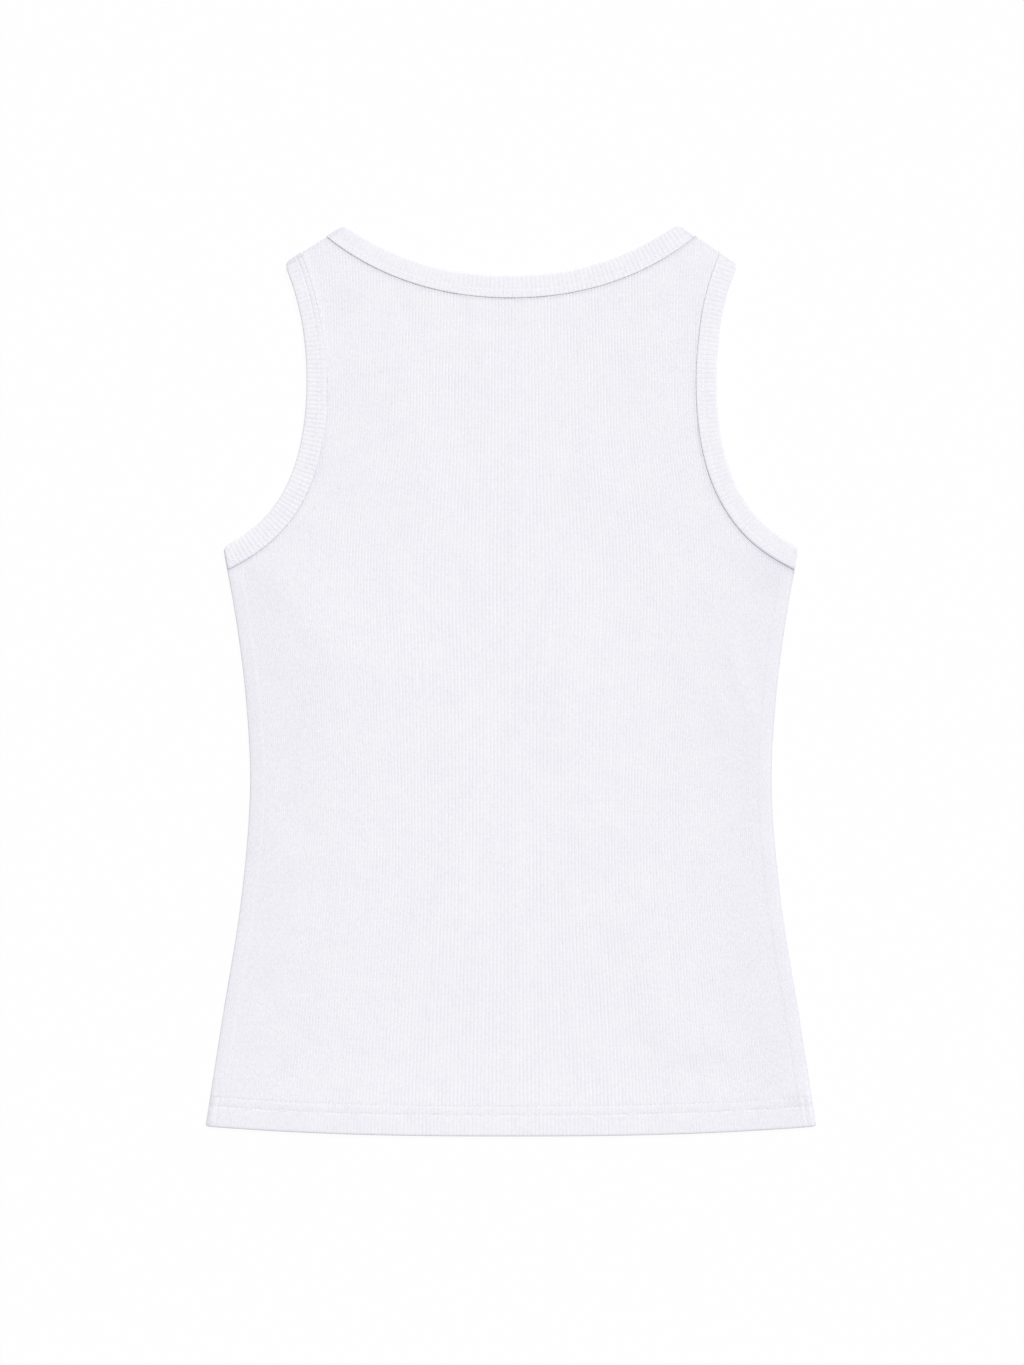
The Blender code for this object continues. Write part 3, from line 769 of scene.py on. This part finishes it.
def make_strip(name, upper, lower, out_start, out_end, mirrored, material):
    """A folded strip as one closed ring, over the back, round a fold, under the front and back."""
    up_fold, up_seam, shares = strip_halves(upper, UPPER_STEP)
    low_fold, low_seam, low_shares = (c[::-1] for c in strip_halves(lower, LOWER_STEP))
    turn = (np.arange(FOLD_SECTIONS) + 1) / (FOLD_SECTIONS + 1)

    def turned(a, b):
        return a + (b - a) * turn[:, None]

    middle = middle_of(up_fold, up_seam)
    over = upper.over * np.cos(math.pi * turn).clip(0, 1)
    run = marks_along(up_fold)
    ends = upper.over * (bell(run, 1.3) + bell(run[-1] - run, 1.3))
    points, weave = (np.vstack(part) for part in zip(
        strip_points(up_fold, up_seam, row_of(upper, shares), out_end, 0.0, STRIP_UPPER, middle,
                     outline=upper.outline, over=ends),
        strip_points(turned(up_fold[-1], low_fold[0]), turned(up_seam[-1], low_seam[0]),
                     (upper.row_ends, upper.dip_end, upper.ribs_end, 0.0), out_end,
                     math.pi * turn, STRIP_UPPER + (STRIP_LOWER - STRIP_UPPER) * turn, middle,
                     over=over, reach=upper.reaches[1]),
        strip_points(low_fold, low_seam, row_of(lower, low_shares), out_start, math.pi,
                     STRIP_LOWER, middle_of(low_fold, low_seam)),
        strip_points(turned(low_fold[-1], up_fold[0]), turned(low_seam[-1], up_seam[0]),
                     (upper.row_ends, DIP, upper.ribs, upper.shadow + upper.corner), out_start,
                     math.pi * (1 - turn), STRIP_LOWER + (STRIP_UPPER - STRIP_LOWER) * turn,
                     middle, over=over[::-1], reach=upper.reaches[0])))
    if mirrored:
        points[..., 0] *= -1
    x, y, z = np.moveaxis(points, -1, 0)
    high = ramp(z, FOLD_LEVEL, 1.0)
    z += creases(x, y) * high
    # the painted shade spots reach onto the strips where they lie uppermost
    weave[..., 2] = np.clip(weave[..., 2] + bumps(SHADE_SPOTS, x, y) * high, 0, 1)
    np.maximum(z, 0.0, out=z)
    index = np.arange(z.size).reshape(z.shape)
    faces = grid_faces(np.pad(index, ((0, 1), (0, 1)), mode="wrap"))
    points = points.reshape(-1, 3)
    return make_piece(name, points, facing_out(points, faces).tolist(), weave.reshape(-1, 3),
                      material)


# ---- stitching ----

THREAD = 0.30  # the thread's radius
FLATTENED = 0.27  # its height as a share of its width, pressed into the cloth
END_DIP = 0.08  # how far its ends go down into the cloth
STITCH_HALF = STITCH_PITCH * 0.41


def one_stitch():
    """Points and faces of a stitch along X: a short round thread whose ends dip into the cloth."""
    bpy.ops.mesh.primitive_cylinder_add(
        vertices=6, radius=1.0, depth=2.0, end_fill_type="NGON",
        rotation=(0, math.radians(90), 0))
    mesh = bpy.context.object.data
    bpy.ops.object.transform_apply(location=False, rotation=True, scale=False)
    bpy.ops.object.mode_set(mode="EDIT")
    bpy.ops.mesh.select_all(action="SELECT")
    for place in (-0.62, 0.0, 0.62):
        bpy.ops.mesh.bisect(plane_co=(place, 0, 0), plane_no=(1, 0, 0))
        bpy.ops.mesh.select_all(action="SELECT")
    bpy.ops.object.mode_set(mode="OBJECT")
    x, y, z = np.array([v.co for v in mesh.vertices], float).T
    faces = [list(p.vertices) for p in mesh.polygons]
    bpy.data.meshes.remove(mesh)
    slim = np.sqrt(np.maximum(1 - 0.75 * x**2, 0.1))
    z = z * slim * THREAD * FLATTENED - END_DIP * x**2
    return np.column_stack((x * STITCH_HALF, y * (slim * THREAD), z)), faces


def sew(name, rows, material):
    """Stitches in rows along paths of points in millimetres, all joined as one piece."""
    narrow, shape_faces = one_stitch()
    vertices, faces, weave = [], [], []
    for path, broad in rows:
        shape = narrow * (1, broad, 1)
        marks = marks_along(path)
        count = int(marks[-1] // STITCH_PITCH)
        centres = (marks[-1] - (count - 1) * STITCH_PITCH) / 2 + np.arange(count) * STITCH_PITCH
        for centre in centres:
            place, ahead, behind = (
                np.array([np.interp(centre + shift, marks, column) for column in path.T])
                for shift in (0.0, 0.8, -0.8))
            run = unit(ahead - behind)
            side = unit(np.array((-run[1], run[0], 0.0)))
            up = np.cross(run, side)
            slant = math.radians(5.0 * math.sin(centre * 2.3))
            sunk = 0.02 * (1 + math.sin(centre * 3.1 + 0.7 * math.sin(centre)))
            turned = run * math.cos(slant) + side * math.sin(slant)
            crosswise = side * math.cos(slant) - run * math.sin(slant)
            start = len(shape) * len(vertices)
            vertices.append(
                place + side * 0.09 * math.sin(centre * 1.7) + shape[:, :1] * turned
                + shape[:, 1:2] * crosswise + (shape[:, 2:] - sunk) * up)
            faces += [[start + k for k in face] for face in shape_faces]
            weave.append(np.column_stack((shape[:, 0] * 3 + centre, shape[:, 1:])))
    return make_piece(name, np.vstack(vertices), faces, np.vstack(weave), material)


def strip_rows(cut, mirrored):
    """The two stitch rows on the upper half of a folded strip."""
    fold, seam, shares = strip_halves(cut, UPPER_STEP)
    run = unit(fold - seam)
    outer_row, dip, _, _ = row_of(cut, shares)
    rows = []
    for distance, drawn, broad in zip((INNER_ROW + 0 * dip, outer_row), (0 * dip, dip), ROW_WIDTHS):
        plan = seam + run * distance[:, None]
        if mirrored:
            plan = plan * (-1, 1)
        z = FOLD_LEVEL + SKIN + STRIP_UPPER - 0.04 - drawn + creases(*plan.T)
        rows.append((np.column_stack((plan, z))[3:-3], broad))
    return rows


def panel_row(x, y, lift):
    """A path for stitches over the back panel's outer face, and how broad they are."""
    points = np.column_stack((x, y))
    outer, inner, _ = panel_heights(points, np.full(len(x), 0.5), BACK_CUT, 0.0)
    return np.column_stack((points, FOLD_LEVEL + SKIN + inner + outer + creases(x, y) + lift)), 1.0


def hem_row(above):
    x = np.linspace(-1, 1, 700) * (side_half(HEM_CORNER + above) - ROW_END)
    return panel_row(x, hem_arc(x) + above + 0.12 * np.sin(x / 23.0 + above), 0.02)


def side_tack(side):
    """A short row up the side seam's allowance, where the hem catches it."""
    up = np.linspace(2.5, TACK_TOP, 30)
    x = side * (side_half(HEM_CORNER + up) - TACK)
    return panel_row(x, hem_arc(x) + up, 0.0)


# ---- materials ----

class Graph:
    """Adds nodes to a tree, and sets or links their inputs."""

    def __init__(self, tree):
        self.tree = tree

    def feed(self, socket, value):
        if isinstance(value, bpy.types.NodeSocket):
            self.tree.links.new(value, socket)
        else:
            socket.default_value = value

    def fill(self, sockets, values):
        for name, value in values.items():
            self.feed(sockets[name], value)

    def node(self, kind, *values, **settings):
        node = self.tree.nodes.new(kind)
        for key, value in settings.items():
            setattr(node, key, value)
        for socket, value in zip(node.inputs, values):
            self.feed(socket, value)
        return node

    def group(self, name, maker, inputs):
        """Places a node group, which is made at its first use, and gives its outputs."""
        tree = bpy.data.node_groups.get(name) or maker(name)
        node = self.node("ShaderNodeGroup", node_tree=tree)
        self.fill(node.inputs, inputs)
        return node.outputs

    def math(self, operation, *values, clamp=False):
        return self.node(
            "ShaderNodeMath", *values, operation=operation, use_clamp=clamp).outputs[0]

    def mix(self, share, a, b):
        node = self.node("ShaderNodeMix", data_type="RGBA")
        self.feed(node.inputs["Factor"], share)
        for socket, value in zip([s for s in node.inputs if s.type == "RGBA"], (a, b)):
            self.feed(socket, value)
        return next(s for s in node.outputs if s.type == "RGBA")

    def noise(self, vector, scale, detail, roughness):
        node = self.node("ShaderNodeTexNoise", noise_dimensions="3D")
        self.fill(node.inputs, {
            "Vector": vector, "Scale": scale, "Detail": detail, "Roughness": roughness})
        return node.outputs["Fac"]

    def bump(self, height, strength, distance):
        node = self.node("ShaderNodeBump")
        self.fill(node.inputs, {"Height": height, "Strength": strength, "Distance": distance})
        return node.outputs["Normal"]

    def weave(self):
        return self.node("ShaderNodeAttribute", attribute_name="weave").outputs["Vector"]

    def place(self):
        return self.node("ShaderNodeTexCoord").outputs["Object"]


def new_group(name, inputs, outputs):
    """A node group's graph, what it is given and what it makes; its outputs are numbers."""
    tree = bpy.data.node_groups.new(name, "ShaderNodeTree")
    for in_out, sockets in (("INPUT", inputs), ("OUTPUT", dict.fromkeys(outputs, "Float"))):
        for label, kind in sockets.items():
            tree.interface.new_socket(label, in_out=in_out, socket_type="NodeSocket" + kind)
    graph = Graph(tree)
    return graph, graph.node("NodeGroupInput").outputs, graph.node("NodeGroupOutput").inputs


def knit_group(name):
    """Stitches of the knit: a column of V shapes on each rib, and how deep in a groove it is."""
    graph, given, made = new_group(
        name, {"Weave": "Vector", "Even Ribs": "Float"},
        ("Height", "Groove", "Seam", "Streak", "Crowded"))
    do = graph.math
    rib, course, seam = graph.node("ShaderNodeSeparateXYZ", given["Weave"]).outputs
    swing = do("COSINE", do("MULTIPLY", rib, 2 * math.pi))
    groove = do("POWER", do("MULTIPLY_ADD", swing, 0.5, 0.5), 2.2)
    off_centre = do("ABSOLUTE", do("SUBTRACT", do("FRACT", rib), 0.5))
    leg = do("FRACT", do("MULTIPLY_ADD", off_centre, 1.7, course))
    body = do("MULTIPLY", do("SINE", do("MULTIPLY", leg, math.pi)), do("SUBTRACT", 1.0, groove))
    centre_line = do("SMOOTH_MIN", do("MULTIPLY", off_centre, 7.0), 1.0, 0.4)
    # ribs lose their evenness towards the sides, where they turn into loose streaks
    outward = do("POWER", do("DIVIDE", rib, given["Even Ribs"]), 2.0)
    even = do("MAXIMUM", do("MULTIPLY_ADD", outward, -1.15, 1.0), 0.3)
    stretched = graph.node(
        "ShaderNodeCombineXYZ", do("MULTIPLY", rib, 1.2), do("MULTIPLY", course, 0.3), 0.0)
    streak = do("SUBTRACT", graph.noise(stretched.outputs[0], 1.0, 4.0, 0.75), 0.5)
    # Painted Shade passes on the weave's third value, the painted shade, unchanged
    graph.fill(made, {
        "Height": do("MULTIPLY", body, centre_line), "Groove": do("MULTIPLY", groove, even),
        "Seam": seam, "Streak": do("MULTIPLY", streak, do("MULTIPLY_ADD", even, -1.5, 2.6)),
        "Crowded": do("SUBTRACT", 1.0, even)})
    return graph.tree


def lint_group(name):
    """Faint unevenness of washed cotton: broad tone, patchy strength of the grooves' painted shade,
    flecks, and fibres as height.
    """
    graph, given, made = new_group(
        name, {"Place": "Vector"}, ("Tone", "Groove Shade Patches", "Fleck", "Fibre"))
    place, do = given["Place"], graph.math
    shade_patches = do("SUBTRACT", graph.noise(place, 110.0, 1.0, 0.5), 0.5)
    graph.fill(made, {
        "Tone": graph.noise(place, 50.0, 4.0, 0.75),
        "Groove Shade Patches": do("MAXIMUM", do("MULTIPLY_ADD", shade_patches, 4.0, 1.0), 0.1),
        "Fleck": graph.noise(place, 640.0, 3.0, 0.65),
        "Fibre": graph.noise(place, 2600.0, 2.0, 0.7)})
    return graph.tree


def new_material(name):
    """A material, its graph, and its shader's inputs."""
    material = bpy.data.materials.new(name)
    material.use_nodes = True
    tree = material.node_tree
    return material, Graph(tree), tree.nodes["Principled BSDF"].inputs


def cloth_material(name, s, even_ribs, groove_shade_share):
    """Rib knit: so many ribs before they lose their evenness, and how strong its grooves' painted
    shade is.
    """
    material, graph, shader = new_material(name)
    do = graph.math
    knit = graph.group(
        "knit stitches", knit_group, {"Weave": graph.weave(), "Even Ribs": even_ribs})
    lint = graph.group("cotton lint", lint_group, {"Place": graph.place()})
    # how far the colour goes from the ribs' tops towards the grooves' painted shade: in the
    # grooves, in the stitches' hollows and towards the sides, and at random with the yarn's tone,
    # streaks and flecks
    share = do("MULTIPLY_ADD", do("MULTIPLY", knit["Groove"], lint["Groove Shade Patches"]), groove_shade_share, 0.15)
    for value, weight in (
            (knit["Crowded"], 0.2), (knit["Streak"], s.streaks),
            (do("SUBTRACT", 0.5, knit["Height"]), 0.08),
            (do("SUBTRACT", lint["Tone"], 0.5), 0.62)):
        share = do("MULTIPLY_ADD", value, weight, share)
    fleck = do("SUBTRACT", lint["Fleck"], 0.5)
    share = do("MULTIPLY_ADD", fleck, s.flecks, share, clamp=True)
    base = graph.mix(share, (*s.cloth_colour, 1), (*s.groove_shade_colour, 1))
    # painted shade: the weave's shade value draws the colour towards the painted shade colour
    seam = do("MULTIPLY", knit["Seam"], s.painted_shade_strength)
    height = do("MULTIPLY_ADD", lint["Fibre"], 0.3, knit["Height"])
    height = do("MULTIPLY_ADD", knit["Streak"], -1.2, height)
    graph.fill(shader, {
        "Base Color": graph.mix(seam, base, (*s.painted_shade_colour, 1)),
        "Roughness": do("MULTIPLY_ADD", lint["Fleck"], 0.12, 0.80),
        "Normal": graph.bump(height, 0.55, 0.00014),
        "Specular IOR Level": 0.2, "Sheen Weight": 0.08, "Sheen Roughness": 0.5})
    return material


def thread_material(s):
    """Twisted white cotton thread."""
    material, graph, shader = new_material("sewing_thread")
    do = graph.math
    length, round_it, _ = graph.node("ShaderNodeSeparateXYZ", graph.weave()).outputs
    slant = do("ADD", do("MULTIPLY", length, 9.0), do("MULTIPLY", round_it, 18.0))
    ply = do("MULTIPLY_ADD", do("SINE", slant), 0.5, 0.5)
    # painted shade between the plies, drawn towards the grooves' shade colour
    dark = do("MULTIPLY", ply, 0.15)
    graph.fill(shader, {
        "Base Color": graph.mix(dark, (*s.thread_colour, 1), (*s.groove_shade_colour, 1)),
        "Roughness": do("MULTIPLY_ADD", ply, 0.1, 0.5),
        "Normal": graph.bump(ply, 0.5, 0.00006), "Sheen Weight": 0.1})
    return material


def floor_material(s):
    """A pale table that gives light of its own."""
    material, graph, shader = new_material("pale_floor")
    grain = graph.noise(graph.place(), 60.0, 2.0, 0.5)
    duller = tuple(c * 0.995 for c in s.floor_colour) + (1,)
    graph.fill(shader, {
        "Base Color": graph.mix(grain, (*s.floor_colour, 1), duller),
        "Roughness": 0.95, "Specular IOR Level": 0.0, "Emission Color": (1, 1, 1, 1),
        "Emission Strength": s.floor_glow})
    return material


# ---- add-on ----

def colour(name, description, default):
    return bpy.props.FloatVectorProperty(
        name=name, description=description, default=default, subtype="COLOR", size=3,
        min=0.0, max=1.0)


def number(name, description, default, **more):
    return bpy.props.FloatProperty(
        name=name, description=description, default=default, min=0.0, **more)


class TankTopSettings(bpy.types.PropertyGroup):
    """Sizes and colours of the finished cloth."""

    rib_depth: number(
        "Rib depth", "How deep the grooves between the back's ribs are", 0.00016,
        max=0.001, unit="LENGTH")
    front_rib_depth: number(
        "Front rib depth", "The same on the front, pressed against the surface", 0.0003,
        max=0.001, unit="LENGTH")
    cloth_colour: colour("Cloth", "The knit on top of its ribs", (0.889, 0.882, 0.917))
    # the painted shade in the rib grooves and between a thread's plies; the yarn's random tone also
    # draws towards it
    groove_shade_colour: colour("Groove shade", "The knit between its ribs", (0.785, 0.77, 0.86))
    streaks: number("Streaks", "Unevenness of the yarn along the ribs", 1.0, max=3.0)
    flecks: number("Flecks", "Unevenness of single stitches", 1.4, max=3.0)
    # colour of the painted shade: shadows along the seams and stitch rows, dark rims along edges,
    # and the shade spots
    painted_shade_colour: colour(
        "Painted shade colour", "The cloth where it turns down into a seam", (0.52, 0.49, 0.60))
    # how much of the painted shade shows
    painted_shade_strength: number(
        "Painted shade strength", "How much of the seam colour shows", 0.5, max=1.0, subtype="FACTOR")
    thread_colour: colour("Thread", "The sewing thread", (0.99, 0.985, 1.0))
    floor_colour: colour("Floor", "The floor that it lies on", (0.05, 0.05, 0.05))
    floor_glow: number(
        "Floor glow", "Light that the floor gives of itself, as a light table", 0.941,
        max=1.0)
    sky: number("Sky", "Strength of the even white light", 0.55)
    wall: number("Wall", "Brightness of the white wall beyond the floor", 0.99)
    sun: number("Sun", "Strength of the soft light from the upper right", 2.1)
    sun_height: number(
        "Sun height", "Angle of the soft light above the floor", math.radians(48),
        subtype="ANGLE", unit="ROTATION")
    sun_side: number(
        "Sun side", "Where the soft light stands, from +X towards +Y", math.radians(52),
        subtype="ANGLE", unit="ROTATION")
    camera_height: number("Camera height", "Camera above the cloth", 2.1593, unit="LENGTH")


class TANKTOP_OT_panels(bpy.types.Operator):
    """Lay the ribbed back with its turned-up hem, and the front with its deeper neck under it"""

    bl_idname = "tanktop.panels"
    bl_label = "Panels"

    def execute(self, context):
        s = context.scene.tank_top
        for name, cut, rib_depth, upward in (("back", BACK_CUT, s.rib_depth, True),
                                             ("front", FRONT_CUT, s.front_rib_depth, False)):
            cloth = cloth_material("rib_knit_" + name, s, RIBS, 0.22)
            piece = make_panel(name + "_cloth", cut, rib_depth * 1000, upward, cloth)
            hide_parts(name + "_panel")
        return {"FINISHED"}


class TANKTOP_OT_bindings(bpy.types.Operator):
    """Fold the ribbed strips round the neck and the armholes"""

    bl_idname = "tanktop.bindings"
    bl_label = "Bindings"

    def execute(self, context):
        s = context.scene.tank_top
        cloth = cloth_material("neck_knit", s, EVEN_STRIP, 0.20)
        piece = make_strip("neck_strip", NECK_BACK, NECK_FRONT, SHOULDER_OUT * (-1, 1),
                           SHOULDER_OUT, False, cloth)
        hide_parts("neck_binding")
        side = unit(ARM_FOLD[0] - ARM_SEAM[0])
        underarm_out = np.array((side[1], -side[0]))
        for name, cut, mirrored in ARMHOLES:
            cloth = cloth_material("armhole_knit_" + name, s, EVEN_STRIP, 0.24)
            piece = make_strip("armhole_strip_" + name, cut, cut, underarm_out, SHOULDER_OUT,
                               mirrored, cloth)
            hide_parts("armhole_binding_" + name)
        return {"FINISHED"}


class TANKTOP_OT_stitching(bpy.types.Operator):
    """Sew the hem, the bindings and the ends of the side seams"""

    bl_idname = "tanktop.stitching"
    bl_label = "Stitching"

    def execute(self, context):
        thread = thread_material(context.scene.tank_top)
        hem = [hem_row(HEM_LOW_ROW), hem_row(HEM_HIGH_ROW), side_tack(-1), side_tack(1)]
        sew("hem_stitches", hem, thread)
        sew("neck_stitches", strip_rows(NECK_BACK, False), thread)
        for name, cut, mirrored in ARMHOLES:
            rows = strip_rows(cut, mirrored)
            sew("armhole_stitches_" + name, rows, thread)
        return {"FINISHED"}


class TANKTOP_OT_declare_cloth(bpy.types.Operator):
    """An empty step, which changes nothing"""

    bl_idname = "tanktop.declare_cloth"
    bl_label = "Cut Sizes"

    def execute(self, context):
        return {"FINISHED"}


class TANKTOP_OT_stage(bpy.types.Operator):
    """Set the floor, the lights and the camera"""

    bl_idname = "tanktop.stage"
    bl_label = "Stage"

    def execute(self, context):
        s = context.scene.tank_top
        bpy.ops.mesh.primitive_plane_add(size=60, location=(0, 0, -0.0001))
        floor = context.object
        floor.name = "floor"
        floor.data.materials.append(floor_material(s))

        world = bpy.data.worlds.new("white_room")
        world.use_nodes = True
        room = Graph(world.node_tree)
        sky = world.node_tree.nodes["Background"]
        room.fill(sky.inputs, {"Color": (1, 1, 1, 1), "Strength": s.sky})
        wall = room.node("ShaderNodeBackground", (1, 1, 1, 1), s.wall)
        seen = room.node("ShaderNodeMixShader", room.node("ShaderNodeLightPath").outputs[0],
                         sky.outputs[0], wall.outputs[0])
        room.feed(world.node_tree.nodes["World Output"].inputs["Surface"], seen.outputs[0])
        context.scene.world = world

        light = bpy.data.lights.new("soft_sun", "SUN")
        light.energy, light.angle = s.sun, math.radians(18)
        sun = add_object("soft_sun", light)
        sun.rotation_euler = (0, math.pi / 2 - s.sun_height, s.sun_side)

        camera = bpy.data.cameras.new("overhead")
        camera.lens, camera.sensor_width, camera.clip_end = 85, 36, 100
        eye = add_object("overhead", camera)
        eye.location = (0.00067, -0.0010, 0.003 + s.camera_height)
        context.scene.camera = eye
        view = context.scene.view_settings
        view.view_transform, view.look = "Standard", "None"
        return {"FINISHED"}


STEPS = (TANKTOP_OT_panels, TANKTOP_OT_bindings, TANKTOP_OT_stitching,
         TANKTOP_OT_declare_cloth, TANKTOP_OT_stage)


class TANKTOP_PT_pieces(bpy.types.Panel):
    """The garment's pieces and their settings"""

    bl_label = "Tank Top"
    bl_idname = "TANKTOP_PT_pieces"
    bl_space_type = "VIEW_3D"
    bl_region_type = "UI"
    bl_category = "Tank Top"

    def draw(self, context):
        for step in STEPS:
            self.layout.operator(step.bl_idname)
        for name in TankTopSettings.__annotations__:
            self.layout.prop(context.scene.tank_top, name)


CLASSES = (TankTopSettings, *STEPS, TANKTOP_PT_pieces)


def register():
    for cls in CLASSES:
        bpy.utils.register_class(cls)
    bpy.types.Scene.tank_top = bpy.props.PointerProperty(type=TankTopSettings)


def unregister():
    del bpy.types.Scene.tank_top
    for cls in reversed(CLASSES):
        bpy.utils.unregister_class(cls)


def main():
    register()
    bpy.ops.tanktop.panels()
    bpy.ops.tanktop.bindings()
    bpy.ops.tanktop.stitching()
    bpy.ops.tanktop.declare_cloth()
    bpy.ops.tanktop.stage()


if __name__ == "__main__":
    main()
